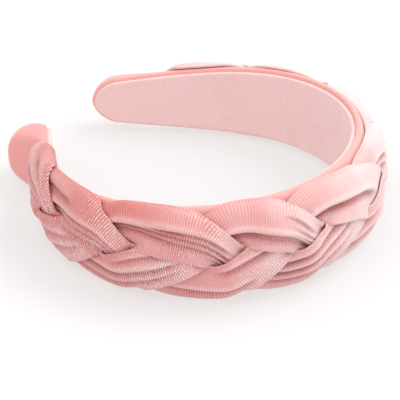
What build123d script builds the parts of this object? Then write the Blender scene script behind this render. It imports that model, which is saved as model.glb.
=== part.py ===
from build123d import *
import os
from collections import namedtuple
from math import cos, degrees, floor, hypot, pi, sin, sqrt

# Driving sizes, in millimetres.
inner_length = 360.0      # the lining's length over the head, tip to tip
crown_width = 37.0        # the padded band at the top of the head
tip_width = 17.6          # the padded band at its two tips
width_power = 2.5         # how late each arm narrows towards its tip
tip_dome = 10.0           # length of each rounded tip
band_thickness = 4.4      # the padding under the plait
near_thickness = 16.5     # the padding in the bare near tip
far_thickness = 9.5       # the padding in the bare far tip
near_dome = 14.0          # length over which the near tip's padding is rounded off
far_dome = 10.0           # and the far tip's
tip_blunt = 0.15          # thickness kept at a tip's very end, as a share
upper_sleeve = 12.0       # bare length of each tip along its upper edge
lower_sleeve = 30.0       # bare length of each tip along its lower edge
sleeve_slope = 18.0       # length over which the padding falls from tip to plait
lining_thickness = 1.0
lining_softness = 0.25    # rounding of the lining's cut edges
lining_inset = 1.3        # band edge left bare around the lining
strand_share = 0.72       # a strand's half width over its swing to each side
notch_share = 0.85        # how near the plait's edge two crossing strands reach
strand_over = 4.8         # rise of a strand where it lies over another
strand_under = 3.0        # rise of a strand where it lies under another
climb_height = 4.6        # how far a strand's side climbs onto the strand below it
climb_width = 0.5         # how far that side then reaches out
strand_edge = 0.9         # thickness of a strand's folded edge
strand_growth = 14.0      # length over which a strand fills out from its end
point_length = 20.0       # length of a strand's pointed ends
clearance = 0.35          # space kept between neighbouring pieces
slope_room = 1.5          # extra space where the band's face slopes along it, as a share

# How the inner line bends along each arm, from the crown at 0 to the tip at 1.
# A turn is in radians over half the inner length.
Bend = namedtuple("Bend", "share turn")
bends = [
    Bend(0.0, 3.08),
    Bend(0.35, 3.05),
    Bend(0.6, 2.97),
    Bend(0.8, 0.81),
    Bend(0.9, 0.08),
    Bend(1.0, -2.47),
]
arm_lean = 0.215          # extra turn of the near arm's tip, and as much less at the far one

# Where each leaf of the plait starts along the upper edge, from -1 at the near tip to 1.
Leaf = namedtuple("Leaf", "share number")
leaves = [
    Leaf(-1.0, 0.0),
    Leaf(-0.895, 0.32),
    Leaf(-0.80, 0.60),
    Leaf(-0.665, 0.88),
    Leaf(-0.60, 1.48),
    Leaf(-0.485, 1.98),
    Leaf(-0.41, 2.47),
    Leaf(-0.28, 3.0),
    Leaf(-0.215, 3.46),
    Leaf(-0.12, 4.0),
    Leaf(-0.055, 4.46),
    Leaf(0.07, 5.0),
    Leaf(0.26, 6.0),
    Leaf(0.455, 7.0),
    Leaf(0.65, 8.0),
    Leaf(0.84, 9.0),
    Leaf(1.0, 9.7),
]

# How far the plait goes past the band's widest line at its upper and its lower edge, measured
# along the band's face, and how full its strands are, as a share.
Reach = namedtuple("Reach", "share past")
upper_reach = [
    Reach(-1.0, 5.0),
    Reach(-0.8, 4.5),
    Reach(-0.6, 1.2),
    Reach(-0.4, 1.0),
    Reach(-0.2, 1.0),
    Reach(0.1, 0.5),
    Reach(0.3, 1.0),
    Reach(0.6, 0.5),
    Reach(1.0, 2.0),
]
lower_reach = [
    Reach(-1.0, 2.0),
    Reach(-0.8, 0.0),
    Reach(-0.72, -2.5),
    Reach(-0.55, -1.0),
    Reach(-0.3, 0.5),
    Reach(0.2, 0.5),
    Reach(0.7, 0.0),
    Reach(1.0, 1.0),
]
Fullness = namedtuple("Fullness", "share full")
fullness = [
    Fullness(-1.0, 0.8),
    Fullness(-0.6, 0.85),
    Fullness(-0.3, 1.0),
    Fullness(0.2, 1.0),
    Fullness(0.36, 1.5),
    Fullness(0.5, 0.9),
    Fullness(0.62, 0.6),
    Fullness(1.0, 0.5),
]

# Where in its weave a strand's right side lies on the strand below: the angle at which it
# lies highest, and for how many degrees to each side it stays there and then comes down.
Climb = namedtuple("Climb", "angle hold fall")
climbs = [
    Climb(174.0, 4.0, 27.0),
    Climb(301.0, 4.0, 27.0),
]

# Each strand's node, where it starts and ends, from -1 at the near tip to 1, and where across
# its width the point that it starts with lies, from 0 to 1.
Strand = namedtuple("Strand", "node start end point")
strands = [
    Strand("strand_1", -0.84, 0.825, 0.8),
    Strand("strand_2", -0.775, 0.88, 0.5),
    Strand("strand_3", -0.765, 0.87, 0.4),
]

# Two long folds in each leaf: places across the strand from -1 to 1, and depths as shares
# of the strand's rise. A strand takes the rows in turn, one for each crossing.
Fold = namedtuple("Fold", "first first_depth second second_depth")
folds = [
    Fold(-0.42, 0.22, 0.30, 0.30),
    Fold(-0.20, 0.34, 0.46, 0.16),
    Fold(-0.50, 0.12, 0.12, 0.36),
    Fold(-0.34, 0.30, 0.38, 0.26),
    Fold(-0.10, 0.26, 0.52, 0.30),
    Fold(-0.46, 0.30, 0.22, 0.14),
    Fold(-0.28, 0.18, 0.40, 0.34),
]

# Shape of the cross sections. Places across a strand run from -1 to 1.
band_edge_level = 0.35    # height of the band's widest line, as a share of its thickness
outer_roundness = 2.6
inner_roundness = 5.0
strand_roundness = 2.4
shoulder = 0.86           # place across where a strand's upper face turns down
fold_half_width = 0.16
end_fullness = 0.12       # how full a strand's end is
end_width = 0.15          # how wide a strand's end is, as a share
corner_ease = 1.2         # softness of the bend where one face climbs onto another
outline_ease = 4.5        # softness of the turns in a strand's outline
bare_slant = 0.6          # place across where a tip's bare length is that of its lower edge
fold_ease = 0.3           # how gradually a strand's folds change, in crossings
strand_reach = 0.34       # how far a strand keeps off the sides of the one under it, over its swing
normal_reach = 1.8        # distance to each side over which the face's direction is evened out
slope_step = 0.005        # share of an arm over which the slope of its padding is measured
side_drop = 12.0          # how far down the band's sides the plait may wrap
far_middle = 0.5          # place across its width where each strand's far end lies
leaf_phase = pi / 6       # a strand's place in its weave where a leaf starts

# How finely the soft surfaces are divided.
sleeve_sections = 9       # through each bare tip and the slope after it
middle_sections = 30      # through the rest of the band
lining_sections = 40
sleeve_share = 0.70       # where the closer sections of the tips end
band_sides = 16           # points around the band
tip_sections = 5          # through each rounded end
strand_sections = 84      # along each strand
line_steps = 720          # steps of the inner line
strand_base_points = 9    # points across a strand's lower face
first_tip_section = 0.4   # how far out of the very end the first section is, in sections
settle_rounds = 26        # halvings in the search for the resting plane
settle_slope = 0.2        # steepest slope that the search tries


def between(rows, place):
    """Smoothly read the second column of a table at a place in its first."""
    last = len(rows) - 1
    index = 0
    while index < last - 1 and place > rows[index + 1][0]:
        index += 1
    low = rows[index]
    high = rows[index + 1]
    span = high[0] - low[0]
    slope = (high[1] - low[1]) / span
    start = slope
    end = slope
    if index > 0:
        start = (high[1] - rows[index - 1][1]) / (high[0] - rows[index - 1][0])
    if index < last - 1:
        end = (rows[index + 2][1] - low[1]) / (rows[index + 2][0] - low[0])
    t = (place - low[0]) / span
    if t <= 0:
        return low[1] + start * (place - low[0])
    if t >= 1:
        return high[1] + end * (place - high[0])
    rise = (3 - 2 * t) * t * t
    return (low[1] * (1 - rise) + high[1] * rise
            + span * t * (1 - t) * (start * (1 - t) - end * t))


def ramp(value, low, high):
    """A soft step from 0 at low to 1 at high."""
    t = min(1.0, max(0.0, (value - low) / (high - low)))
    return t * t * (3 - 2 * t)


# The inner line in plan: points and headings at even steps from the near tip to the far one.
half_length = inner_length / 2
step = inner_length / line_steps
line = [(0.0, 0.0, 0.0)]
for side in (1, -1):
    x, y, heading = 0.0, 0.0, 0.0
    arm = []
    for count in range(line_steps // 2):
        share = (count + 0.5) * step / half_length
        turn = (between(bends, share) - side * arm_lean * share) * step / half_length
        heading += side * turn / 2
        x -= side * sin(heading) * step
        y += side * cos(heading) * step
        heading += side * turn / 2
        arm.append((x, y, heading))
    if side > 0:
        line = line + arm
    else:
        line = arm[::-1] + line


def line_at(share):
    """The point of the inner line at a share of its half length, and its heading."""
    place = (share + 1) / 2 * line_steps
    index = min(line_steps - 1, max(0, floor(place)))
    t = place - index
    low = line[index]
    high = line[index + 1]
    return [low[axis] * (1 - t) + high[axis] * t for axis in range(3)]


def half_width(share):
    """Half the band's width, before its tips are rounded."""
    return (tip_width + (crown_width - tip_width) * (1 - abs(share) ** width_power)) / 2


def padding(share, across):
    """The thickness of the band: thick in the bare tips, thin under the plait."""
    from_tip = (1 - abs(share)) * half_length
    bare = upper_sleeve + (lower_sleeve - upper_sleeve) * ramp(-across, -bare_slant, bare_slant)
    fall = ramp(from_tip, bare, bare + sleeve_slope)
    sleeve, dome = (near_thickness, near_dome) if share < 0 else (far_thickness, far_dome)
    out = min(1.0, max(0.0, 1 - from_tip / dome))
    blunt = tip_blunt + (1 - tip_blunt) * sqrt(1 - out ** 2)
    return (sleeve + (band_thickness - sleeve) * fall) * blunt


def edge_rise(thick):
    """Height of the band's widest line over its inner face."""
    return band_edge_level * min(thick, band_thickness)


def tip_round(share):
    """Shrinks a section within its rounded tip, from 1 down to 0 at the end."""
    from_tip = (1 - abs(share)) * half_length
    if from_tip >= tip_dome:
        return 1.0
    return sqrt(max(0.0, 1 - (1 - from_tip / tip_dome) ** 2))


band_base = lining_thickness + clearance


def band_ring(share):
    """The band's outline: flat towards the lining, crowned towards the plait."""
    wide = half_width(share) * tip_round(share)
    points = []
    for count in range(band_sides):
        angle = 2 * pi * (count + 0.5) / band_sides
        outer = sin(angle) > 0
        roundness = outer_roundness if outer else inner_roundness
        across = abs(cos(angle)) ** (2 / roundness) * (1 if cos(angle) > 0 else -1)
        rise = abs(sin(angle)) ** (2 / roundness)
        thick = padding(share, across)
        level = edge_rise(thick)
        height = (thick - level) * rise if outer else -level * rise
        points.append((wide * across, band_base + level + height))
    return points


def shares_between(start, end, count):
    """Evenly spaced shares of the half length, both ends among them."""
    return [start + (end - start) * index / count for index in range(count + 1)]


def tip_shares(margin):
    """Shares through one rounded tip, closer together towards its end."""
    shares = []
    for count in range(tip_sections):
        out = cos(pi / 2 * (count + first_tip_section) / tip_sections)
        shares.append(1 - (margin + tip_dome * (1 - out)) / half_length)
    return shares


def mirrored(shares):
    """The same places on the other arm, from its tip on."""
    return [-share for share in shares[::-1]]


straight = 1 - tip_dome / half_length
arm_shares = shares_between(sleeve_share, straight, sleeve_sections) + tip_shares(0.0)[::-1]
middle_shares = shares_between(-sleeve_share, sleeve_share, middle_sections)
band_shares = mirrored(arm_shares) + middle_shares[1:-1] + arm_shares
band_rings = [band_ring(share) for share in band_shares]


class Outline:
    """The band's faceted outer face in one plane, by the distance along it from its middle."""

    def __init__(self, share):
        index = max(i for i, place in enumerate(band_shares[:-1]) if place <= share)
        t = (share - band_shares[index]) / (band_shares[index + 1] - band_shares[index])
        ring = [(a[0] * (1 - t) + b[0] * t, a[1] * (1 - t) + b[1] * t)
                for a, b in zip(band_rings[index], band_rings[index + 1])]
        crown = ring[band_sides // 2 - 1::-1]
        feet = (ring[band_sides // 2], ring[-1])
        drops = [(v, h - side_drop) for v, h in feet]
        self.points = [drops[0], feet[0]] + crown + [feet[1], drops[1]]
        self.runs = [0.0]
        middle = 0.0
        for low, high in zip(self.points, self.points[1:]):
            length = hypot(high[0] - low[0], high[1] - low[1])
            if low[0] <= 0 < high[0]:
                middle = self.runs[-1] - length * low[0] / (high[0] - low[0])
            self.runs.append(self.runs[-1] + length)
        self.runs = [run - middle for run in self.runs]
        self.rims = []  # how far the band's widest line lies from the middle, on each side
        for corner, side in ((crown[0], -1), (crown[-1], 1)):
            level = band_base + edge_rise(padding(share, side))
            run = abs(self.runs[self.points.index(corner)])
            self.rims.append(run + corner[1] - level)

    def spot(self, place):
        """The point of the face at a distance from its middle, upwards positive."""
        run = min(self.runs[-1], max(self.runs[0], place))
        index = 0
        while self.runs[index + 1] < run:
            index += 1
        t = (run - self.runs[index]) / (self.runs[index + 1] - self.runs[index])
        low = self.points[index]
        high = self.points[index + 1]
        return (low[0] * (1 - t) + high[0] * t, low[1] * (1 - t) + high[1] * t)

    def over(self, place, height):
        """A point square to the face, at a height over it."""
        v, h = self.spot(place)
        back = self.spot(place - normal_reach)
        ahead = self.spot(place + normal_reach)
        size = hypot(ahead[0] - back[0], ahead[1] - back[1])
        out_v = (back[1] - ahead[1]) / size
        out_h = (ahead[0] - back[0]) / size
        return (v + out_v * height, h + out_h * height)

    def bulge(self, place, reach):
        """How far the face bulges over a straight line laid across it."""
        v, h = self.spot(place)
        back = self.spot(place - reach)
        ahead = self.spot(place + reach)
        return hypot((back[0] + ahead[0]) / 2 - v, (back[1] + ahead[1]) / 2 - h)


def smooth_max(a, b, ease):
    """The larger of two values, with the corner between them eased."""
    return (a + b + sqrt((a - b) ** 2 + ease ** 2)) / 2


def side_lift(angle):
    """How far a strand's right side has climbed onto the strand below it, from 0 to 1."""
    lift = 0.0
    for climb in climbs:
        off = (degrees(angle) - climb.angle + 180) % 360 - 180
        lift += 1 - ramp(abs(off), climb.hold, climb.hold + climb.fall)
    return lift


class Weave:
    """The three strands where one plane square to the inner line cuts them."""

    def __init__(self, share):
        self.share = share
        self.outline = Outline(share)
        low_edge = self.outline.rims[0] + between(lower_reach, share)
        high_edge = self.outline.rims[1] + between(upper_reach, share)
        self.centre = (high_edge - low_edge) / 2
        self.edge = (high_edge + low_edge) / 2
        swing = notch_share * self.edge / (sin(leaf_phase) + strand_share)
        self.reach = strand_reach * swing
        fall = padding(share - slope_step, 0.0) - padding(share + slope_step, 0.0)
        slope = abs(fall) / (2 * slope_step * half_length)
        self.clearance = clearance * (1 + slope_room * slope)
        self.angles = []
        self.sides = []
        self.lifts = []
        self.climbs = []
        self.rises = []
        self.fulls = []
        middles = []
        for number, strand in enumerate(strands):
            angle = 2 * pi * (between(leaves, share) + number) / len(strands) + leaf_phase
            middle = swing * sin(angle)
            half = strand_share * swing
            lifts = (side_lift(angle + pi), side_lift(angle))
            low = -self.within_edge(half - middle + climb_width * lifts[0])
            high = self.within_edge(middle + half + climb_width * lifts[1])
            from_end = min(share - strand.start, strand.end - share) * half_length
            width = end_width + (1 - end_width) * ramp(from_end, 0.0, point_length)
            point = low + (high - low) * (strand.point if share < 0 else far_middle)
            over = (1 - sin(2 * angle)) / 2  # 1 where the strand lies over another, 0 under
            full = end_fullness + (1 - end_fullness) * ramp(from_end, 0.0, strand_growth)
            plump = full * between(fullness, share)
            middles.append(middle)
            self.angles.append(angle)
            self.sides.append((point + (low - point) * width, point + (high - point) * width))
            self.lifts.append(lifts)
            self.fulls.append(full)
            self.climbs.append(climb_height * plump)
            self.rises.append((strand_under + (strand_over - strand_under) * over) * plump)
        centre = sorted(range(len(strands)), key=lambda number: middles[number])[1]
        lowest = (centre - 1) % len(strands)
        highest = (centre + 1) % len(strands)
        self.carriers = {lowest: None, centre: lowest, highest: centre}

    def within_edge(self, place):
        """Folds a strand's side back to the plait's edge."""
        return self.edge + place - smooth_max(self.edge, place, outline_ease)

    def cover(self, number, place):
        """The height over a strand that another strand keeps clear of."""
        low, high = self.sides[number]
        strand = strands[number]
        if not strand.start <= self.share <= strand.end:
            return 0.0
        outside = max(low - place, place - high)
        heights = [self.pillow(number, place + shift) for shift in (-self.reach, 0.0, self.reach)
                   if low <= place + shift <= high]
        if not heights:
            return 0.0
        return max(heights) * (1 - ramp(outside, 0.0, self.reach))

    def underside(self, number, place):
        """The lower face of a strand, resting on the band and on the strand below it."""
        low, high = self.sides[number]
        reach = (high - low) / (strand_base_points - 1) / 2
        bulge = max(self.outline.bulge(self.centre + place + way * reach, reach)
                    for way in (-1, 0, 1))
        carrier = self.carriers[number]
        cover = 0.0 if carrier is None else self.cover(carrier, place)
        return cover + bulge + self.clearance

    def pillow(self, number, place):
        """The upper face of a strand, before its folds are pressed in."""
        low, high = self.sides[number]
        t = min(1.0, max(0.0, (place - low) / (high - low)))
        x = abs(2 * t - 1)
        dome = self.rises[number] * (1 - x ** strand_roundness) ** (1 / strand_roundness)
        lift = self.lifts[number][0] * (1 - t) + self.lifts[number][1] * t
        height = self.clearance + self.climbs[number] * lift + dome
        edge = strand_edge * self.fulls[number]
        return smooth_max(height, self.underside(number, place), corner_ease) + edge

    def fold_row(self, number):
        """The places and depths of the two folds, easing from one crossing to the next."""
        crossing = self.angles[number] / pi
        row = floor(crossing)
        ease = ramp(crossing - row, 0.5 - fold_ease, 0.5 + fold_ease)
        low = folds[(row + 2 * number) % len(folds)]
        high = folds[(row + 2 * number + 1) % len(folds)]
        return [a * (1 - ease) + b * ease for a, b in zip(low, high)]

    def ring(self, number):
        """The strand's outline in this plane, as pairs of place across and height."""
        low, high = self.sides[number]
        middle = (low + high) / 2
        half = (high - low) / 2
        first, first_depth, second, second_depth = self.fold_row(number)
        crests = [(-1.0, 0.0), (-shoulder, 0.0)]
        crests += [(first - fold_half_width, 0.0), (first, first_depth)]
        crests += [((first + second) / 2, 0.0), (second, second_depth)]
        crests += [(second + fold_half_width, 0.0), (shoulder, 0.0), (1.0, 0.0)]
        points = []
        for x, depth in crests:
            place = middle + x * half
            top = self.pillow(number, place) - depth * self.rises[number]
            points.append((place, top))
        for count in range(strand_base_points):
            place = middle + (1 - 2 * count / (strand_base_points - 1)) * half
            points.append((place, self.underside(number, place)))
        return [self.outline.over(self.centre + place, height) for place, height in points]


def lining_ring(share):
    """The lining's outline: a flat strip with softened edges."""
    wide = (half_width(share) - lining_inset) * tip_round(share)
    side = [(wide - lining_softness, 0.0), (wide, lining_softness)]
    side += [(wide, lining_thickness - lining_softness), (wide - lining_softness, lining_thickness)]
    return side + [(-v, h) for v, h in side[::-1]]


def place(points, share):
    """Points across and over the inner line, put into the band's own frame."""
    x, y, heading = line_at(share)
    return [(x + h * cos(heading), y + h * sin(heading), v) for v, h in points]


def skin(rings):
    """A closed body of flat triangles through a row of rings."""
    faces = []

    def triangle(a, b, c):
        faces.append(Face(Wire.make_polygon([Vector(*a), Vector(*b), Vector(*c)], close=True)))

    for low, high in zip(rings, rings[1:]):
        for index in range(len(low)):
            after = (index + 1) % len(low)
            triangle(low[index], low[after], high[after])
            triangle(low[index], high[after], high[index])
    for ring in (rings[0], rings[-1]):
        centre = [sum(point[axis] for point in ring) / len(ring) for axis in range(3)]
        for index in range(len(ring)):
            triangle(ring[index], ring[(index + 1) % len(ring)], centre)
    body = Solid(Shell(faces))
    return body if body.volume > 0 else -body


def settle(points):
    """The plane the piece rests on, as its two slopes: the highest plane under every point."""
    middle = [sum(point[axis] for point in points) / len(points) for axis in (0, 1)]

    def under(slope_x, slope_y):
        return min(z - slope_x * (x - middle[0]) - slope_y * (y - middle[1])
                   for x, y, z in points)

    def best(score, width):
        low, high = -width, width
        for count in range(settle_rounds):
            first = low + (high - low) / 3
            second = high - (high - low) / 3
            if score(first) < score(second):
                low = first
            else:
                high = second
        return (low + high) / 2

    def best_y(slope_x):
        return best(lambda slope_y: under(slope_x, slope_y), settle_slope)

    slope_x = best(lambda slope: under(slope, best_y(slope)), settle_slope)
    return slope_x, best_y(slope_x)


# The outlines of every piece along the band, in the band's own frame.
lining_tip = tip_shares(lining_inset)[::-1]
lining_straight = straight - lining_inset / half_length
lining_shares = shares_between(-lining_straight, lining_straight, lining_sections)
lining_shares = mirrored(lining_tip) + lining_shares + lining_tip
rings = {
    "padded_band": [place(ring, share) for ring, share in zip(band_rings, band_shares)],
    "lining": [place(lining_ring(share), share) for share in lining_shares],
}
for number, strand in enumerate(strands):
    weaves = [Weave(s) for s in shares_between(strand.start, strand.end, strand_sections)]
    rings[strand.node] = [place(weave.ring(number), weave.share) for weave in weaves]

# Lay the headband on its side, as it rests by itself on a table.
feet = [p for piece in rings.values() for ring in piece for p in ring if p[2] < 0]
slope_x, slope_y = settle(feet)
tilt = Vector(-slope_x, -slope_y, 1).normalized()
resting = Plane(origin=(0, 0, 0), x_dir=Vector(1, 0, 0) - tilt * tilt.X, z_dir=tilt)


def lay(point):
    """A point of the band's own frame, in the frame it rests in."""
    spot = resting.to_local_coords(Vector(*point))
    return (spot.X, spot.Y, spot.Z)


rested = {name: [[lay(p) for p in ring] for ring in piece] for name, piece in rings.items()}
spots = [p for piece in rested.values() for ring in piece for p in ring]
lows = [min(p[axis] for p in spots) for axis in range(3)]
highs = [max(p[axis] for p in spots) for axis in range(3)]
origin = ((lows[0] + highs[0]) / 2, (lows[1] + highs[1]) / 2, lows[2])

os.makedirs("parts", exist_ok=True)
for name, piece in rested.items():
    body = skin([[tuple(a - b for a, b in zip(p, origin)) for p in ring] for ring in piece])
    export_step(body, f"parts/{name}.step")
    print(name, round(body.volume / 1000, 2), "cm3")
print("size", [round(high - low, 1) for low, high in zip(lows, highs)])
print("resting slopes", round(slope_x, 4), round(slope_y, 4))
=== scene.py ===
import math

import bpy
import numpy as np
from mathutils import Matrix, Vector


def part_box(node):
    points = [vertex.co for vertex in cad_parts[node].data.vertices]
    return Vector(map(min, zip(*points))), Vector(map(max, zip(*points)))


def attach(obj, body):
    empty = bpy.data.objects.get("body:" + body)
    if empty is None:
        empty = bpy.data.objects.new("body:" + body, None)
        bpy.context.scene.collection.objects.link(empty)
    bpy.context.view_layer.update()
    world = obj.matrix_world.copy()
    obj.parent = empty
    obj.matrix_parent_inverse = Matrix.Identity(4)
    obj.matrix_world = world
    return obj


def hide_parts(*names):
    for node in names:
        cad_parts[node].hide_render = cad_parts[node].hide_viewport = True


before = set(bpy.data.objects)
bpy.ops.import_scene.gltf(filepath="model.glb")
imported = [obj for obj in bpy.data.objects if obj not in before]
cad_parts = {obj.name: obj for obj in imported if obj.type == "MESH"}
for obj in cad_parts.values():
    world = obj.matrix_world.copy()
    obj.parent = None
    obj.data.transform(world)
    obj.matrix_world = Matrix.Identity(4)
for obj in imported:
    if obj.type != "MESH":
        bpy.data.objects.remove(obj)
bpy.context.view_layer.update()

mm = 0.001      # lengths are in millimetres, as on a pattern, and the meshes are in metres

# The band: a padded strip bent round a head, thick in its bare tips. Shares along it go from -1 at
# the near tip over 0 at the crown to 1 at the far tip.
band = {
    "innerLength": 360.0, "crownWidth": 37.0, "tipWidth": 17.6, "widthPower": 2.5,
    "thickness": 4.4, "edgeLevel": 0.35, "outerRoundness": 2.6, "innerRoundness": 5.0,
    # the bare tips: how thick, how long at each edge, and how long they take to thin out
    "nearSleeve": 16.5, "farSleeve": 9.5, "upperSleeve": 12.0, "lowerSleeve": 16.5,
    "sleeveSlope": 18.0, "sleeveBlend": 0.6,
    # how long the rounding of a tip is in its width, and in the thickness of each tip
    "tipDome": 10.0, "nearDome": 15.0, "farDome": 10.0, "tipBlunt": 0.15,
    # how far the near tip's end is drawn in at the lining and pushed out above it, and where that ends
    "nearPull": 8.5, "nearPush": 2.2, "pullLength": 12.0, "pullHeight": 7.0,
    # how the inner line bends, from the crown at 0 to a tip at 1, in radians over half its length
    "bends": [(0.0, 3.08), (0.35, 3.05), (0.6, 2.97), (0.8, 0.81), (0.9, 0.08), (1.0, -2.47)],
    "armLean": 0.215,                   # the far arm bends this much less at its tip, the near one more
    "restSlope": (-0.0614, -0.0044),    # of the plane it lies on, along the band's own x and y
    "lineSteps": 720, "sections": 620, "sides": 72, "tipSections": 28, "firstSection": 0.0004,
}
lining = {
    "thickness": 1.0, "inset": 1.3, "softness": 0.25, "clearance": 0.35,
    "overlap": 0.3,                     # it is thicker than the solid, so that the gap behind it closes
    "sections": 420, "tipSections": 26, "firstSection": 0.002, "facePoints": 26, "areaSamples": 201,
}

# The plait: three folded strands. Leaves are counted as they begin along the upper edge.
plait = {
    # a strand's half width against its swing, and how far out the notches in the plait's outline are
    "strandShare": 0.80, "notchShare": 0.85, "outlineEase": 4.5,
    # how high a strand rises over and under another, and how a side climbs over its neighbour
    "overRise": 5.2, "underRise": 3.1, "climbHeight": 2.0, "climbWidth": 0.5,
    "roundness": 2.1, "edgeThickness": 0.9, "sideBulge": 0.8, "cornerEase": 1.2,
    "reach": 0.12,      # how far past its sides a strand lifts the next one, against its swing
    # the ends of a strand: how it fills out, narrows to its point and is tucked into the padding
    "growth": 14.0, "endFullness": 0.12, "pointLength": 15.0, "pointWidth": 0.1, "pointCurve": 1.4,
    "tuck": 1.8, "tuckLength": 6.0,
    # the weave's angle at the start, and how much of a leaf goes by before its folds and its shine count
    "leafPhase": math.pi / 6, "leafOffset": 10 / 180, "hiddenStart": 0.09,
    "sections": 740, "upperPoints": 100, "lowerPoints": 14, "sidePoints": 7, "edgeCrowding": 0.55,
    "gridSamples": 241, "gridSpread": 1.2, "pathHeight": 3.0,
    # how often they are smoothed: a strand along its length, and what it lies on, across and along
    "softening": 12, "acrossSoftening": 5, "alongSoftening": 4,
    # share along the band, and the number of the leaf that starts there
    "leaves": [(-1.0, 0.0), (-0.895, 0.32), (-0.80, 0.57), (-0.675, 0.94), (-0.585, 1.48), (-0.485, 1.98),
               (-0.41, 2.47), (-0.28, 3.0), (-0.215, 3.46), (-0.12, 4.0), (-0.055, 4.46),
               (0.07, 5.0), (0.26, 6.0), (0.455, 7.0), (0.65, 8.0), (0.84, 9.0), (1.0, 9.7)],
    # degrees of the weave where a side lies highest, how long it stays and how long it falls
    "climbs": [(174.0, 4.0, 27.0), (301.0, 4.0, 27.0)],
    # share, and how far the plait reaches past the band's widest line, at its upper and lower edge
    "upperReach": [(-1.0, 5.0), (-0.8, 4.0), (-0.6, 1.0), (-0.4, 0.5), (-0.2, 0.2), (0.05, -1.2),
                   (0.2, -2.6), (0.36, -3.2), (0.5, -1.0), (0.65, 0.5), (1.0, 2.0)],
    "lowerReach": [(-1.0, 2.0), (-0.8, 0.0), (-0.72, -2.5), (-0.55, -1.0), (-0.3, 0.5), (0.2, 0.5),
                   (0.7, 0.0), (1.0, 1.0)],
    # share, and how full the strands are there
    "fullness": [(-1.0, 0.8), (-0.6, 0.85), (-0.3, 1.0), (0.2, 1.0), (0.36, 1.5), (0.5, 0.9),
                 (0.62, 0.6), (1.0, 0.5)],
    # share, and how wide the strands are there
    "widths": [(-1.0, 1.0), (-0.84, 1.1), (-0.76, 1.3), (-0.66, 1.3), (-0.58, 1.12), (-0.45, 1.0),
               (0.0, 1.0), (0.13, 1.28), (0.24, 1.12), (0.36, 1.13), (0.5, 1.1), (0.65, 1.0), (1.0, 1.0)],
    # the share where a strand starts and ends, and where across its width its first point is
    "strands": [("strand_1", -0.84, 0.825, 0.7), ("strand_2", -0.775, 0.88, 0.5),
                ("strand_3", -0.765, 0.87, 0.4)],
}
clearance = lining["clearance"]
bandBase = lining["thickness"] + clearance
halfLength = band["innerLength"] / 2
strandCount = len(plait["strands"])


def readTable(rows, place):
    # smooth reading of a two-column table
    xs, ys = np.array(rows, float).T
    secant = np.diff(ys) / np.diff(xs)
    slope = np.concatenate([[secant[0]], (ys[2:] - ys[:-2]) / (xs[2:] - xs[:-2]), [secant[-1]]])
    k = np.clip(np.searchsorted(xs, place, side="right") - 1, 0, len(xs) - 2)
    span = xs[k + 1] - xs[k]
    raw = (place - xs[k]) / span
    t = np.clip(raw, 0, 1)
    rise = (3 - 2 * t) * t * t
    bow = span * t * (1 - t) * (slope[k] * (1 - t) - slope[k + 1] * t)
    past = (raw - t) * span * np.where(raw < 0, slope[k], slope[k + 1])
    return ys[k] * (1 - rise) + ys[k + 1] * rise + bow + past


def ramp(value, low, high):
    t = np.clip((value - low) / (high - low), 0, 1)
    return t * t * (3 - 2 * t)


def smoothMax(a, b, ease):
    return (a + b + np.sqrt((a - b) ** 2 + ease ** 2)) / 2


def soften(grid, times, axis):
    # eases each point towards its two neighbours along one axis, in place, with the ends kept
    rows = np.moveaxis(grid, axis, 0)
    for count in range(times):
        rows[1:-1] = (rows[:-2] + 2 * rows[1:-1] + rows[2:]) / 4


def beforeAndPast(part, samples):
    # the sample before a place from 0 to 1 among evenly spaced ones, and how far past it the place is
    k = np.clip(part * (samples - 1), 0, samples - 1.001)       # just short of the last sample
    low = k.astype(int)
    return low, k - low


def innerLine(share):
    # the lining's line in plan: x, y and heading at each share
    steps = band["lineSteps"]
    step = band["innerLength"] / steps
    middle = (np.arange(steps // 2) + 0.5) * step / halfLength
    places, columns = [], []
    for side in (1, -1):
        turn = (readTable(band["bends"], middle) - side * band["armLean"] * middle) * step / halfLength
        heading = side * (np.cumsum(turn) - turn / 2)
        x = np.cumsum(-side * np.sin(heading) * step)
        y = np.cumsum(side * np.cos(heading) * step)
        places.append(side * (middle + 0.5 * step / halfLength))
        columns.append(np.stack([x, y, side * np.cumsum(turn)]))
    at = np.concatenate([places[1][::-1], [0.0], places[0]])
    columns = np.concatenate([columns[1][:, ::-1], np.zeros((3, 1)), columns[0]], axis=1)
    return [np.interp(share, at, column) for column in columns]


def halfWidth(share):
    wider = (band["crownWidth"] - band["tipWidth"]) * (1 - np.abs(share) ** band["widthPower"])
    return (band["tipWidth"] + wider) / 2


def tipRound(share, inset=0.0):
    # how much of its width the strip still has near its round ends
    out = np.clip(1 - ((1 - np.abs(share)) * halfLength - inset) / band["tipDome"], 0, 1)
    return np.sqrt(1 - out ** 2)


def padding(share, across):
    # thick in the bare tips, for longer along the lower edge, where the plait starts later
    fromTip = (1 - np.abs(share)) * halfLength
    lowerEdge = ramp(-across, -band["sleeveBlend"], band["sleeveBlend"])
    bare = band["upperSleeve"] + (band["lowerSleeve"] - band["upperSleeve"]) * lowerEdge
    fall = ramp(fromTip, bare, bare + band["sleeveSlope"])
    sleeve = np.where(share < 0, band["nearSleeve"], band["farSleeve"])
    out = np.clip(1 - fromTip / np.where(share < 0, band["nearDome"], band["farDome"]), 0, 1)
    blunt = band["tipBlunt"] + (1 - band["tipBlunt"]) * np.sqrt(1 - out ** 2)
    return (sleeve + (band["thickness"] - sleeve) * fall) * blunt


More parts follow.
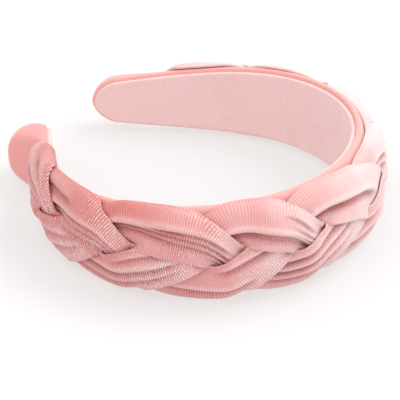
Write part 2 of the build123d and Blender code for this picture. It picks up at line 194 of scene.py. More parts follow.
def paddedSection(share, wide, turn):
    # across the band and out from the lining, at turns from 0 at the upper edge over the outer
    # face to pi at the lower edge, and back along the inner face
    outer = np.sin(turn) > 0
    power = 2 / np.where(outer, band["outerRoundness"], band["innerRoundness"])
    across = np.abs(np.cos(turn)) ** power * np.sign(np.cos(turn))
    thick = padding(share, across)
    edgeRise = band["edgeLevel"] * np.minimum(thick, band["thickness"])
    swell = np.abs(np.sin(turn)) ** power * np.where(outer, thick - edgeRise, -edgeRise)
    return wide * across, bandBase + edgeRise + swell


def tipPull(share, height):
    # how far along the near tip's end is moved, so that it rounds back towards the lining
    near = np.clip(1 - (1 + share) * halfLength / band["pullLength"], 0, 1)
    inner = 1 - np.clip((height - bandBase) / band["pullHeight"], 0, 1)
    return near * (band["nearPull"] * inner ** 2 - band["nearPush"])


up = Vector((-band["restSlope"][0], -band["restSlope"][1], 1)).normalized()
ahead = (Vector((1, 0, 0)) - up * up.x).normalized()
restAxes = np.array([ahead, up.cross(ahead), up])


def placed(share, across, height, along=0.0):
    # a point of the section at share, across, out from and along the inner line, on the resting headband
    x, y, heading = innerLine(share)
    extra = (1,) * (across.ndim - x.ndim)
    x, y, heading = [part.reshape(part.shape + extra) for part in (x, y, heading)]
    x = x + height * np.cos(heading) - along * np.sin(heading)
    y = y + height * np.sin(heading) + along * np.cos(heading)
    return np.stack([x, y, across], -1) @ restAxes.T


class Outline:
    # the padding's outer face in each section, read by the distance along it from its middle,
    # and going on straight down beyond the band's edges

    def __init__(self, share, samples=161, below=12.0, points=121, softening=6):
        turn = np.linspace(math.pi, 0, points)[None]
        v, h = paddedSection(share[:, None], halfWidth(share)[:, None], turn)
        v = np.concatenate([v[:, :1], v, v[:, -1:]], axis=1)
        h = np.concatenate([h[:, :1] - below, h, h[:, -1:] - below], axis=1)
        steps = np.cumsum(np.hypot(np.diff(v), np.diff(h)), axis=1)
        run = np.concatenate([0 * v[:, :1], steps], axis=1)
        middle = np.array([np.interp(0, vs, rs) for vs, rs in zip(v, run)])
        run -= middle[:, None]
        self.leftRim, self.rightRim = -run[:, 1], run[:, -2]
        self.low, self.high = run[:, :1], run[:, -1:]
        self.samples = samples
        at = self.low + (self.high - self.low) * np.linspace(0, 1, samples)
        table = np.array([[np.interp(a, r, vs), np.interp(a, r, hs)] for a, r, vs, hs in zip(at, run, v, h)])
        slope = np.gradient(table, axis=2)
        soften(slope, softening, 2)     # so that what is laid on it fans out round the edges
        size = np.hypot(slope[:, 0], slope[:, 1])
        self.table = np.stack([table[:, 0], table[:, 1], -slope[:, 1] / size, slope[:, 0] / size], axis=1)

    def at(self, place, height):
        low, t = beforeAndPast((place - self.low) / (self.high - self.low), self.samples)
        rows = np.arange(len(place))[:, None]
        v, h, outV, outH = [
            self.table[rows, column, low] * (1 - t) + self.table[rows, column, low + 1] * t
            for column in range(4)]
        return v + outV * height, h + outH * height


def sideLift(angle):
    # from 0 to 1, how far the side of a strand at this angle of the weave climbs over its neighbour
    total = 0
    for top, hold, fall in plait["climbs"]:
        off = (np.degrees(angle) - top + 180) % 360 - 180
        total = total + 1 - ramp(np.abs(off), hold, hold + fall)
    return total


def weaveOf(share):
    # where the three strands are in each section, and which lies on which
    number = readTable(plait["leaves"], share)
    outline = Outline(share)
    right = outline.rightRim + readTable(plait["upperReach"], share)
    left = outline.leftRim + readTable(plait["lowerReach"], share)
    edge = (right + left) / 2
    swing = plait["notchShare"] * edge / (math.sin(plait["leafPhase"]) + plait["strandShare"])
    weave = {"share": share, "outline": outline, "centre": (right - left) / 2, "edge": edge, "swing": swing}
    names = ("angle", "middle", "left", "right", "lowLift", "highLift", "full", "rise", "climb")
    columns = {name: [] for name in names}

    def within(v):
        return edge + v - smoothMax(edge, v, plait["outlineEase"])

    for strand, (node, start, end, startsAt) in enumerate(plait["strands"]):
        angle = 2 * math.pi * (number + strand) / strandCount + plait["leafPhase"]
        middle = swing * np.sin(angle)
        half = plait["strandShare"] * swing * readTable(plait["widths"], share)
        lowLift, highLift = sideLift(angle + math.pi), sideLift(angle)
        low = -within(half - middle + plait["climbWidth"] * lowLift)
        high = within(middle + half + plait["climbWidth"] * highLift)
        fromEnd = np.minimum(share - start, end - share) * halfLength
        full = plait["endFullness"] + (1 - plait["endFullness"]) * ramp(fromEnd, 0, plait["growth"])
        short = (1 - np.clip(fromEnd / plait["pointLength"], 0, 1)) ** plait["pointCurve"]
        point = 1 - (1 - plait["pointWidth"]) * short
        centre = low + (high - low) * np.where(share < 0, startsAt, 0.5)
        low, high = centre + (low - centre) * point, centre + (high - centre) * point
        over = (1 - np.sin(2 * angle)) / 2      # 1 where it lies over the others, 0 where under
        plump = full * readTable(plait["fullness"], share)
        rise = (plait["underRise"] + (plait["overRise"] - plait["underRise"]) * over) * plump
        climb = plait["climbHeight"] * plump
        for name, value in zip(names, (angle, middle, low, high, lowLift, highLift, full, rise, climb)):
            columns[name].append(value)
    weave.update({name: np.array(values) for name, values in columns.items()})
    rank = np.argsort(weave["middle"], axis=0)[1]
    weave["chain"] = [(rank + step) % strandCount for step in (-1, 0, 1)]     # the lowest strand first
    layStrands(weave)
    return weave


def pillow(weave, strand, q, least):
    # the upper face of a strand before its folds; strand is one number, or one for each section
    rows = np.arange(len(weave["share"]))
    left, right, lowLift, highLift, full, rise, climb = [
        weave[name][strand, rows][:, None]
        for name in ("left", "right", "lowLift", "highLift", "full", "rise", "climb")]
    t = np.clip((q - left) / (right - left), 0, 1)
    dome = rise * (1 - np.abs(2 * t - 1) ** plait["roundness"]) ** (1 / plait["roundness"])
    lifted = clearance + climb * (lowLift * (1 - t) + highLift * t)
    return smoothMax(lifted + dome, least, plait["cornerEase"]) + plait["edgeThickness"] * full


def layStrands(weave):
    # each strand's underside on a grid across every section, from the lowest strand to the highest
    spread = np.linspace(-plait["gridSpread"], plait["gridSpread"], plait["gridSamples"])
    grid = spread[None] * weave["edge"][:, None]
    rows = np.arange(len(weave["share"]))
    starts = np.array([strand[1] for strand in plait["strands"]])
    ends = np.array([strand[2] for strand in plait["strands"]])
    reach = plait["reach"] * weave["swing"][:, None]
    shifts = int(round((reach / (grid[:, 1:2] - grid[:, :1])).mean()))
    cover = np.zeros_like(grid)
    under = np.zeros((strandCount,) + grid.shape)
    for strand in weave["chain"]:
        least = cover + clearance
        soften(least, plait["acrossSoftening"], 1)
        under[strand, rows] = least
        left, right = weave["left"][strand, rows][:, None], weave["right"][strand, rows][:, None]
        top = np.where((grid >= left) & (grid <= right), pillow(weave, strand, grid, least), 0)
        wide = top.copy()
        for shift in range(1, shifts + 1):      # a strand lifts the next one a little past its own sides
            wide[:, shift:] = np.maximum(wide[:, shift:], top[:, :-shift])
            wide[:, :-shift] = np.maximum(wide[:, :-shift], top[:, shift:])
        outside = np.maximum(left - grid, grid - right)
        there = (weave["share"] >= starts[strand]) & (weave["share"] <= ends[strand])
        cover = np.where(there[:, None], wide * (1 - ramp(outside, 0, reach)), 0)
    soften(under, plait["alongSoftening"], 1)
    weave["under"] = under


def undersideAt(weave, strand, q):
    # the height of a strand's underside at places across each section
    grid = weave["under"][strand]
    low, t = beforeAndPast((q / weave["edge"][:, None] / plait["gridSpread"] + 1) / 2, plait["gridSamples"])
    rows = np.arange(len(q))[:, None]
    return grid[rows, low] * (1 - t) + grid[rows, low + 1] * t


# Folds pressed into each leaf: leaf number (halves start at the lower edge), then where the fold
# starts and ends along the leaf from 0 to 1 and across it from -1 at its lower side to 1 at its
# upper side, its depth and its width in millimetres.
folds = [
    (0.0, 0.20, 0.25, 1.02, 0.05, 1.6, 1.7),
    (0.0, 0.60, 0.62, 1.02, 0.45, 0.9, 1.2),
    (0.0, 0.35, -0.45, 1.02, -0.30, 0.9, 1.3),
    (0.0, 0.35, -0.75, 1.02, -0.62, 0.8, 1.2),
    (0.5, 0.40, 0.25, 1.00, 0.05, 0.8, 1.6),
    (0.5, 0.30, -0.45, 1.00, -0.40, 0.9, 1.5),
    (1.0, 0.10, 0.62, 0.50, 0.45, 0.9, 1.5),
    (1.0, 0.30, -0.20, 1.05, -0.05, 1.2, 1.4),
    (1.0, 0.35, -0.52, 1.05, -0.36, 1.1, 1.2),
    (1.0, 0.45, -0.80, 1.05, -0.68, 0.9, 1.0),
    (1.5, 0.62, 0.55, 1.02, 0.35, 0.9, 1.2),
    (1.5, 0.30, 0.10, 1.02, -0.25, 1.3, 1.5),
    (1.5, 0.25, -0.45, 1.02, -0.62, 1.0, 1.3),
    (2.0, 0.15, 0.18, 1.05, -0.10, 1.2, 1.3),
    (2.0, 0.22, -0.02, 1.05, -0.42, 1.3, 1.2),
    (2.0, 0.52, 0.22, 1.05, 0.25, 1.1, 1.3),
    (2.0, 0.80, -0.60, 1.05, -0.74, 0.9, 1.2),
    (2.5, 0.25, -0.45, 0.75, -0.55, 1.1, 1.3),
    (2.5, 0.55, 0.55, 1.05, 0.20, 1.3, 1.4),
    (3.0, 0.12, -0.30, 0.92, -0.42, 1.7, 1.6),
    (3.0, 0.76, 0.50, 1.06, 0.30, 0.7, 1.0),
    (3.0, 0.84, 0.05, 1.06, 0.05, 0.6, 0.8),
    (3.0, 0.84, -0.20, 1.06, -0.15, 0.6, 0.8),
    (3.5, 0.25, 0.35, 1.02, 0.55, 1.2, 1.4),
    (3.5, 0.25, -0.10, 1.02, 0.05, 1.4, 1.3),
    (3.5, 0.25, -0.50, 1.02, -0.45, 1.2, 1.3),
    (4.0, 0.10, -0.60, 0.80, 0.02, 1.8, 1.5),
    (4.5, 0.25, 0.25, 1.02, 0.35, 1.3, 1.3),
    (4.5, 0.25, -0.35, 1.02, -0.25, 1.3, 1.3),
    (5.0, 0.25, 0.05, 1.02, -0.15, 1.2, 1.3),
    (5.0, 0.35, -0.35, 1.02, -0.50, 1.1, 1.2),
    (5.5, 0.20, 0.25, 1.02, 0.05, 1.2, 1.4),
    (5.5, 0.25, -0.40, 1.02, -0.45, 1.1, 1.3),
    (6.0, 0.20, 0.30, 1.02, 0.10, 1.1, 1.3),
    (6.0, 0.25, -0.30, 1.02, -0.40, 1.2, 1.4),
    (6.5, 0.20, 0.20, 1.02, 0.30, 1.2, 1.4),
    (6.5, 0.25, -0.35, 1.02, -0.20, 1.1, 1.3),
    (7.0, 0.20, 0.10, 1.02, -0.10, 1.3, 1.4),
    (7.0, 0.35, -0.45, 1.02, -0.55, 1.0, 1.2),
    (7.5, 0.20, 0.35, 1.02, 0.20, 1.1, 1.3),
    (7.5, 0.25, -0.25, 1.02, -0.30, 1.2, 1.3),
    (8.0, 0.20, 0.25, 1.02, 0.05, 1.1, 1.3),
    (8.0, 0.30, -0.40, 1.02, -0.35, 1.0, 1.2),
    (8.5, 0.20, 0.05, 1.02, -0.10, 0.9, 1.3),
]
pressing = {
    # how much deeper than the table the folds go, and their slopes above and below, in fold widths
    "depth": 2.1, "above": 1.1, "below": 2.6,
    # the ridge above a fold: its height, how far off it is and how wide, and how soon it ends at a side
    "ridgeRise": 0.4, "ridgeAway": 1.5, "ridgeWidth": 0.8, "ridgeFade": 6,
    # how gently a fold fades at its two ends, and where along a leaf the next one covers it
    "ease": 0.10, "last": 0.90,
    "room": 0.8,        # the part of a strand's thickness that folds may press in
    "leastRoom": 0.01,  # keeps a division from zero
}


def halfTurns(weave, strand):
    # how many leaves the strand has made, the upper ones and the lower ones, each from where it shows
    return weave["angle"][strand] / math.pi - plait["leafOffset"]


def foldDepth(weave, strand, x, half):
    # how deep the folds are at each point of a strand, in millimetres, and the ridges beside them
    turn = halfTurns(weave, strand)[:, None]
    crossing = np.floor(turn)
    along = turn - crossing
    depth, ridge = np.zeros_like(x), np.zeros_like(x)
    for leaf, fromAlong, fromAcross, toAlong, toAcross, deep, wide in folds:
        count, other = divmod(2 * (leaf + strand), strandCount)
        if other:
            continue        # a leaf of another strand
        for shift in (0, 1):
            place = along + shift
            here = crossing - shift == count
            t = np.clip((place - fromAlong) / (toAlong - fromAlong), 0, 1)
            path = fromAcross + (toAcross - fromAcross) * t * t * (3 - 2 * t)
            shown = ramp(place, fromAlong - pressing["ease"], fromAlong + pressing["ease"])
            last = min(toAlong, pressing["last"])
            shown = shown * (1 - ramp(place, last, last + pressing["ease"]))
            off = (x - path) * half / wide
            away = np.where(off > 0, off / pressing["above"], -off / pressing["below"]).clip(0, 1)
            pressed = deep * np.where(here, shown, 0)
            depth = np.maximum(depth, pressing["depth"] * pressed * (1 - away) ** 2)
            fromRidge = (off - pressing["ridgeAway"]) / pressing["ridgeWidth"]
            ridge = np.maximum(ridge, pressed * np.exp(-fromRidge ** 2))
    ridge = ridge * (1 - (depth / pressing["depth"]).clip(0, 1)) * (1 - x ** pressing["ridgeFade"])
    return depth, ridge


def meshOf(name, rings, attributes):
    # a closed smooth mesh through a row of rings, with a value for each point under each name
    count, around = rings.shape[:2]
    index = np.arange(count * around).reshape(count, around)
    a, b = index[:-1], np.roll(index[:-1], -1, axis=1)
    c, d = np.roll(index[1:], -1, axis=1), index[1:]
    quads = np.stack([a, b, c, d], -1).reshape(-1, 4)
    verts = rings.reshape(-1, 3)
    caps = np.stack([rings[0].mean(0), rings[-1].mean(0)])
    faces = quads.tolist()
    for ring, centre, way in ((index[0], len(verts), -1), (index[-1], len(verts) + 1, 1)):
        after = np.roll(ring, -1)
        faces += [[int(p), int(q), centre][::way] for p, q in zip(ring, after)]
    verts = np.concatenate([verts, caps])
    corners = [verts[quads[:, corner]] for corner in range(4)]
    volume = np.einsum("ij,ij->i", corners[0], np.cross(corners[1], corners[2])).sum()
    volume += np.einsum("ij,ij->i", corners[0], np.cross(corners[2], corners[3])).sum()
    if volume < 0:
        faces = [face[::-1] for face in faces]
    mesh = bpy.data.meshes.new(name)
    mesh.from_pydata(verts.tolist(), [], faces)
    mesh.polygons.foreach_set("use_smooth", np.ones(len(faces), bool))
    for key, values in attributes.items():
        layer = mesh.attributes.new(key, "FLOAT", "POINT")
        whole = np.concatenate([values.ravel(), [values[0].mean(), values[-1].mean()]])
        layer.data.foreach_set("value", whole.astype(np.float32))
    mesh.update()
    piece = bpy.data.objects.new(name, mesh)
    bpy.context.scene.collection.objects.link(piece)
    return piece


def roundedSide(at, upper, lower, way):
    # the side of a strand between its upper and lower face, bulging a little
    turn = np.linspace(0, math.pi, plait["sidePoints"] + 2)[None, 1:-1]
    wall = (upper - lower) / 2
    bulge = way * np.minimum(wall, plait["sideBulge"])
    return at + bulge * np.sin(turn), (upper + lower) / 2 + wall * np.cos(turn)


def strandRings(strand):
    start, end = plait["strands"][strand][1:3]
    share = np.linspace(start, end, plait["sections"])
    weave = weaveOf(share)
    outline, centre = weave["outline"], weave["centre"][:, None]
    left, right = weave["left"][strand][:, None], weave["right"][strand][:, None]
    half, middle = (right - left) / 2, (left + right) / 2
    crowding = plait["edgeCrowding"]
    even = np.linspace(-1, 1, plait["upperPoints"])[None]
    x = -np.cos(np.linspace(0, math.pi, plait["upperPoints"]))[None] * crowding + even * (1 - crowding)
    q = middle + x * half
    least = undersideAt(weave, strand, q)
    top = pillow(weave, strand, q, least)
    depth, ridge = foldDepth(weave, strand, x + 0 * q, half)
    room = np.clip((top - least) * pressing["room"], 0, None)
    top -= room * np.tanh(depth / np.maximum(room, pressing["leastRoom"]))
    top += pressing["ridgeRise"] * ridge
    qLow = middle + np.linspace(1, -1, plait["lowerPoints"])[None] * half
    low = undersideAt(weave, strand, qLow)
    fromEnd = np.minimum(share - start, end - share)[:, None] * halfLength
    tuck = plait["tuck"] * (1 - ramp(fromEnd, 0, plait["tuckLength"]))
    for face in (top, low):
        soften(face, plait["softening"], 0)     # the cloth eases where strands change places
        face -= tuck
    rightQ, rightH = roundedSide(right, top[:, -1:], low[:, :1], 1)
    leftQ, leftH = roundedSide(left, top[:, :1], low[:, -1:], -1)
    ringQ = np.concatenate([q, rightQ, qLow, leftQ[:, ::-1]], axis=1)
    ringH = np.concatenate([top, rightH, low, leftH[:, ::-1]], axis=1)

    # the ribs run square across the strand, and are counted along its middle line
    path = placed(share, *outline.at(middle + centre, 0 * middle + plait["pathHeight"]))[:, 0]
    run = np.concatenate([[0], np.cumsum(np.linalg.norm(np.diff(path, axis=0), axis=1))])
    lean = np.gradient((middle + centre)[:, 0], run)

    def around(values):
        return np.repeat(values[:, None], ringQ.shape[1], axis=1)

    elsewhere = np.zeros((len(share), ringQ.shape[1] - q.shape[1]))
    return placed(share, *outline.at(ringQ + centre, ringH)), {
        "share": around(share),
        "leafPlace": around((halfTurns(weave, strand) - plait["hiddenStart"]) % 1),
        "side": ringQ - middle,
        "rib": run[:, None] + (ringQ - middle) * lean[:, None],
        "crease": np.concatenate([depth, elsewhere], axis=1),
        "ridge": np.concatenate([ridge, elsewhere], axis=1),
    }


def sectionShares(strip, inset):
    # the shares of a strip's sections, which crowd towards its two round ends
    dome = (band["tipDome"] + inset) / halfLength
    inset = inset / halfLength
    tip = 1 - inset - (dome - inset) * np.linspace(strip["firstSection"], 1, strip["tipSections"]) ** 2
    middle = np.linspace(-(1 - dome), 1 - dome, strip["sections"])[1:-1]
    return np.concatenate([-tip, middle, tip[::-1]])


def bandRings():
    share = sectionShares(band, 0.0)[:, None]
    turn = 2 * math.pi * (np.arange(band["sides"]) + 0.5)[None] / band["sides"]
    v, h = paddedSection(share, halfWidth(share) * tipRound(share), turn)
    return placed(share[:, 0], v, h, tipPull(share, h)), {"share": share + 0 * v}


def liningRings():
    share = sectionShares(lining, lining["inset"])[:, None]
    wide = (halfWidth(share) - lining["inset"]) * tipRound(share, lining["inset"])
    soft, thick = lining["softness"], bandBase + lining["overlap"]
    low = (wide - soft) * np.linspace(1, -1, lining["facePoints"])[None]
    side = np.concatenate([wide, wide], axis=1)
    sideHeight = np.array([[soft, thick - soft]]) + 0 * side
    v = np.concatenate([low, -side, low[:, ::-1], side], axis=1)
    h = np.concatenate([0 * low, sideHeight, 0 * low + thick, sideHeight[:, ::-1]], axis=1)
    return placed(share[:, 0], v, h, tipPull(share, h)), {}


allRings = {"padded_band": bandRings(), "lining": liningRings()}
for number, row in enumerate(plait["strands"]):
    allRings[row[0]] = strandRings(number)
print("outlines worked out")


# Materials


class Value:
    # a value in a material's nodes, reckoned with as in a formula

    def __init__(self, material, socket):
        self.material, self.socket = material, socket

    def math(self, operation, *values):
        node = self.material.node("Math", {"operation": operation}, dict(enumerate(values)))
        return Value(self.material, node.outputs[0])

    def __add__(self, other):
        return self.math("ADD", self, other)

    def __sub__(self, other):
        return self.math("SUBTRACT", self, other)

    def __mul__(self, other):
        return self.math("MULTIPLY", self, other)

    def __truediv__(self, other):
        return self.math("DIVIDE", self, other)

    def __pow__(self, other):
        return self.math("POWER", self, other)

    def __rsub__(self, other):
        return self.math("SUBTRACT", other, self)

    __radd__ = __add__
    __rmul__ = __mul__

    def sine(self):
        return self.math("SINE", self)

    def within(self, low, high):
        return self.math("MINIMUM", self.math("MAXIMUM", self, low), high)

    def ramp(self, low, high):
        # from 0 at low to 1 at high, softly
        node = self.material.node("MapRange", {"interpolation_type": "SMOOTHSTEP"},
                                  {"Value": self, "From Min": low, "From Max": high})
        return Value(self.material, node.outputs["Result"])


class Finish:
    # a material of nodes on one Principled surface

    def __init__(self, name, constants):
        self.material = bpy.data.materials.new(name)
        self.material.use_nodes = True
        self.tree = self.material.node_tree
        self.surface = self.tree.nodes["Principled BSDF"]
        for key, value in constants.items():
            self.feed(self.surface.inputs[key], value)

    def feed(self, place, value):
        if isinstance(value, Value):
            self.tree.links.new(value.socket, place)
        elif hasattr(value, "is_linked"):
            self.tree.links.new(value, place)
        else:
            place.default_value = value

    def node(self, kind, settings, inputs):
        node = self.tree.nodes.new("ShaderNode" + kind)
        for key, value in settings.items():
            setattr(node, key, value)
        for key, value in inputs.items():
            self.feed(node.inputs[key], value)
        return node

    def read(self, name):
        # a value kept at the mesh's points
        node = self.node("Attribute", {"attribute_type": "GEOMETRY", "attribute_name": name}, {})
        return Value(self, node.outputs["Fac"])

    def noise(self, scale, detail):
        # scale is how many of its coarsest blotches fit in a metre
        spot = self.node("TexCoord", {}, {}).outputs["Object"]
        node = self.node("TexNoise", {}, {"Vector": spot, "Scale": scale, "Detail": detail})
        return Value(self, node.outputs["Fac"])

    def mix(self, amount, first, second):
        node = self.node("Mix", {"data_type": "RGBA"}, {0: amount, 6: first, 7: second})
        return node.outputs[2]

    def bump(self, height, depth):
        node = self.node("Bump", {}, {"Height": height, "Distance": depth, "Strength": 1.0})
        self.feed(self.surface.inputs["Normal"], node.outputs["Normal"])

    def colour(self, tone):
        self.feed(self.surface.inputs["Base Color"], tone)

    def dress(self, piece):
        piece.data.materials.append(self.material)


# A grain is a noise's scale and detail, and a pair of shares or levels is where a change starts and ends.
velvet = {
    "roughness": 0.62, "sheen": 0.75, "sheenRoughness": 0.32, "sheenTint": (1.0, 0.90, 0.89, 1),
    "specular": 0.25,
    # colours along the band, of the plait and of the band's own cover, as painted light and shade: deep
    # coral in painted shade at the near end, paler in painted light further on, with a random drift
    "plait": [(0.62, 0.13, 0.118, 1), (0.77, 0.345, 0.33, 1), (0.93, 0.75, 0.755, 1)],
    "cover": [(0.75, 0.33, 0.31, 1), (0.86, 0.43, 0.40, 1), (0.84, 0.40, 0.37, 1)],
    "secondColour": (-0.76, -0.16), "thirdColour": (-0.38, 0.40),
    "thirdFade": (0.55, 0.90), "thirdLoss": 0.45,
    "lightDriftGrain": (60, 2), "lightDrift": 0.5,
    # the lower side and the late part of a leaf, which are painted lighter as painted light
    "lowerSide": (-7, 5), "lowerLight": 0.06,
    "lateRise": (0.42, 0.86), "lateFall": (0.93, 1.0), "lateLevel": 0.38, "lateLight": 0.22,
    # painted shade: its colour, the crease depth at which a fold is painted fully in it, and how much
    "shadeColour": (0.46, 0.125, 0.115, 1), "fullCrease": 1.8, "creaseShade": 0.8,
    # painted highlights: their colour, on the ridges beside the folds and on the ribs' crests
    "highlightColour": (1.0, 0.84, 0.83, 1), "ridgeHighlight": 0.28,
    # the ribs: their pitch and depth in millimetres, how far they wander in radians, and their crest
    "ribPitch": 0.90, "ribDepth": 0.18, "ribWander": 3.4, "wanderGrain": (220, 2), "ribCrest": 1.6,
    "pile": 0.05, "pileGrain": (2600, 3),
    # how the ribs show: with painted highlights on their crests and painted glints, most at the near end,
    # and painted shade between them
    "lowerShine": 0.25, "lateShine": 0.75, "shineFade": (-0.6, 0.4), "shineLoss": 0.7,
    "glintGrain": (1500, 3), "glintLevels": (0.40, 0.60), "leastGlint": 0.12,
    "crestHighlight": 0.12, "glintAmount": 0.95, "troughShade": 0.10, "glintTroughShade": 0.40,
}
suede = {
    "roughness": 0.95, "sheen": 0.35, "sheenTint": (1.0, 0.93, 0.92, 1), "specular": 0.2,
    "base": (0.77, 0.49, 0.475, 1), "speck": (0.90, 0.70, 0.685, 1),
    "speckGrain": (2600, 4), "speckLevels": (0.36, 0.68), "speckAmount": 0.5,
    "cloudGrain": (90, 3), "cloudAmount": 0.4,
    "nap": 0.06, "napGrain": (1500, 4),
}


def velvetBase(name):
    # the velvet's surface, the share along the band, and where the painted light and shade along the band
    # stand there, with a random drift
    look = Finish(name, {
        "Roughness": velvet["roughness"], "Sheen Weight": velvet["sheen"],
        "Sheen Roughness": velvet["sheenRoughness"], "Sheen Tint": velvet["sheenTint"],
        "Specular IOR Level": velvet["specular"]})
    share = look.read("share")
    litPlace = share + (look.noise(*velvet["lightDriftGrain"]) - 0.5) * velvet["lightDrift"]
    return look, share, litPlace


def litVelvetTone(look, share, litPlace, colours):
    # the first colour passes into the second and the third, from painted shade at the near end to painted
    # light further on, and the third fades again on the far arm
    tone = look.mix(litPlace.ramp(*velvet["secondColour"]), colours[0], colours[1])
    stays = 1 - share.ramp(*velvet["thirdFade"]) * velvet["thirdLoss"]
    return look.mix(litPlace.ramp(*velvet["thirdColour"]) * stays, tone, colours[2])


def coverFinish(name):
    look, share, litPlace = velvetBase(name)
    # the cover's colour along the band is painted light and shade
    look.colour(litVelvetTone(look, share, litPlace, velvet["cover"]))
    look.bump(look.noise(*velvet["pileGrain"]), velvet["pile"] * mm)
    return look


def strandFinish(name):
    look, share, litPlace = velvetBase(name)
    lower = 1 - look.read("side").ramp(*velvet["lowerSide"])
    place = look.read("leafPlace")
    late = place.ramp(*velvet["lateRise"]) * (1 - place.ramp(*velvet["lateFall"]))
    # painted light: the lower side and the late part of each leaf move towards the paler colours
    litPlace = litPlace + (late - velvet["lateLevel"]) * velvet["lateLight"] + lower * velvet["lowerLight"]
    tone = litVelvetTone(look, share, litPlace, velvet["plait"])
    # painted shade in the creases of the folds
    crease = (look.read("crease") / velvet["fullCrease"]).within(0, 1)
    tone = look.mix(crease * velvet["creaseShade"], tone, velvet["shadeColour"])
    # painted highlight along the ridges beside the folds
    tone = look.mix(look.read("ridge").within(0, 1) * velvet["ridgeHighlight"], tone, velvet["highlightColour"])
    wander = look.noise(*velvet["wanderGrain"]) * velvet["ribWander"]
    wave = (look.read("rib") * (2 * math.pi / velvet["ribPitch"]) + wander).sine() * 0.5 + 0.5
    crest = wave ** velvet["ribCrest"]
    shine = lower * velvet["lowerShine"] + late * velvet["lateShine"]
    near = 1 - share.ramp(*velvet["shineFade"]) * velvet["shineLoss"]
    glint = look.noise(*velvet["glintGrain"]).ramp(*velvet["glintLevels"])
    glint = glint * (velvet["leastGlint"] + shine * (1 - velvet["leastGlint"])) * near
    # painted shade between the ribs, deeper where there is more shine, and a painted highlight on the ribs'
    # crests, brighter at the glints
    shadeBetweenRibs = velvet["troughShade"] + shine * near * velvet["glintTroughShade"]
    tone = look.mix((1 - wave) * shadeBetweenRibs, tone, velvet["shadeColour"])
    light = (velvet["crestHighlight"] + glint * velvet["glintAmount"]).within(0, 1)
    look.colour(look.mix(crest * light, tone, velvet["highlightColour"]))
    pile = look.noise(*velvet["pileGrain"]) * (velvet["pile"] / velvet["ribDepth"])
    look.bump(crest + pile, velvet["ribDepth"] * mm)
    return look


def suedeFinish(name):
    look = Finish(name, {
        "Roughness": suede["roughness"], "Sheen Weight": suede["sheen"], "Sheen Tint": suede["sheenTint"],
        "Specular IOR Level": suede["specular"]})
    speck = look.noise(*suede["speckGrain"]).ramp(*suede["speckLevels"])
    cloud = look.noise(*suede["cloudGrain"])
    amount = speck * suede["speckAmount"] + cloud * suede["cloudAmount"]
    look.colour(look.mix(amount, suede["base"], suede["speck"]))
    look.bump(look.noise(*suede["napGrain"]), suede["nap"] * mm)
    return look


# Pieces

finishes = {"padded_band": coverFinish("band_velvet"), "lining": suedeFinish("lining_suede")}
for row in plait["strands"]:
    finishes[row[0]] = strandFinish(row[0] + "_velvet")

liningBox = np.array(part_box("lining"))
liningSpots = allRings["lining"][0].reshape(-1, 3)
shift = liningBox.sum(0) / 2 - (liningSpots.min(0) + liningSpots.max(0)) / 2 * mm
shift[2] = -min(rings[..., 2].min() for rings, attributes in allRings.values()) * mm    # down on the floor
for node, (rings, attributes) in allRings.items():
    piece = meshOf(node + "_cloth", rings * mm + shift, attributes)
    finishes[node].dress(piece)
    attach(piece, "root")
    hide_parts(node)
print("pieces made")

liningLength, liningWidth = 2 * (halfLength - lining["inset"]), band["crownWidth"] - 2 * lining["inset"]
liningHalf = float(np.mean(halfWidth(np.linspace(-1, 1, lining["areaSamples"])) - lining["inset"]))
liningArea = 2 * liningHalf * liningLength * mm ** 2
liningWidth * mm
liningLength * mm

# Floor, light and camera

studio = {
    "sky": 0.98, "skyColour": (1.0, 0.985, 0.98, 1),
    # the paper floor: half its size in metres, and its colours under the headband, darker there as painted
    # shade, and away from it; it also glows evenly, as painted light that softens its shadows
    "floorHalf": 3, "floorShaded": (0.23, 0.22, 0.22, 1), "floorFar": (0.38, 0.375, 0.375, 1),
    "floorFade": (0.06, 0.17), "floorGrain": (6, 2), "floorDrift": 0.01,
    "floorRoughness": 0.9, "floorSpecular": 0.1, "glowColour": (1.0, 0.995, 0.99, 1), "floorGlow": 0.63,
    # name, azimuth and elevation in degrees, distance and size in metres, and power in watts
    "lamps": [("key", 62, 52, 1.6, 1.1, 14.0), ("front", -75, 55, 2.0, 1.8, 6.0)],
}
far = studio["floorHalf"]
floorMesh = bpy.data.meshes.new("floor")
floorMesh.from_pydata([(-far, -far, 0), (far, -far, 0), (far, far, 0), (-far, far, 0)], [], [(0, 1, 2, 3)])
floor = bpy.data.objects.new("floor", floorMesh)
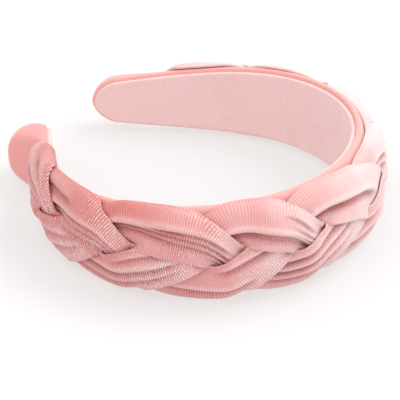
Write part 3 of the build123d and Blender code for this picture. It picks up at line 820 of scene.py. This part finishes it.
bpy.context.scene.collection.objects.link(floor)
paper = Finish("white_paper", {
    "Roughness": studio["floorRoughness"], "Specular IOR Level": studio["floorSpecular"],
    "Emission Color": studio["glowColour"], "Emission Strength": studio["floorGlow"]})
spot = paper.node("TexCoord", {}, {}).outputs["Object"]
away = Value(paper, paper.node("VectorMath", {"operation": "LENGTH"}, {0: spot}).outputs["Value"])
away = away + paper.noise(*studio["floorGrain"]) * studio["floorDrift"]
# painted shade: the floor is darker near the headband
paper.colour(paper.mix(away.ramp(*studio["floorFade"]), studio["floorShaded"], studio["floorFar"]))
paper.dress(floor)

world = bpy.data.worlds.new("studio")
bpy.context.scene.world = world
world.use_nodes = True
sky = world.node_tree.nodes["Background"].inputs
sky["Color"].default_value = studio["skyColour"]
sky["Strength"].default_value = studio["sky"]


def lookAlong(azimuth, elevation):
    a, e = math.radians(azimuth), math.radians(elevation)
    return Vector((math.cos(e) * math.cos(a), math.cos(e) * math.sin(a), math.sin(e)))


for name, azimuth, elevation, distance, size, power in studio["lamps"]:
    lamp = bpy.data.lights.new(name, "AREA")
    lamp.shape, lamp.size, lamp.energy = "DISK", size, power
    source = bpy.data.objects.new(name, lamp)
    way = lookAlong(azimuth, elevation)
    source.location = way * distance
    source.rotation_euler = way.to_track_quat("Z", "Y").to_euler()
    bpy.context.scene.collection.objects.link(source)

view = {
    "azimuth": -50.66, "elevation": 30.69, "distance": 1001.7, "target": (7.56, -8.54, 10.0),
    "lens": 230.43, "sensor": 36.0, "clip": (0.05, 20),
}
camera = bpy.data.objects.new("camera", bpy.data.cameras.new("camera"))
back = lookAlong(view["azimuth"], view["elevation"])
camera.location = (Vector(view["target"]) + back * view["distance"]) * mm
camera.rotation_euler = back.to_track_quat("Z", "Y").to_euler()
camera.data.sensor_width, camera.data.lens = view["sensor"], view["lens"]
camera.data.clip_start, camera.data.clip_end = view["clip"]
bpy.context.scene.collection.objects.link(camera)
bpy.context.scene.camera = camera
bpy.context.scene.view_settings.view_transform = "Standard"

print("ready")
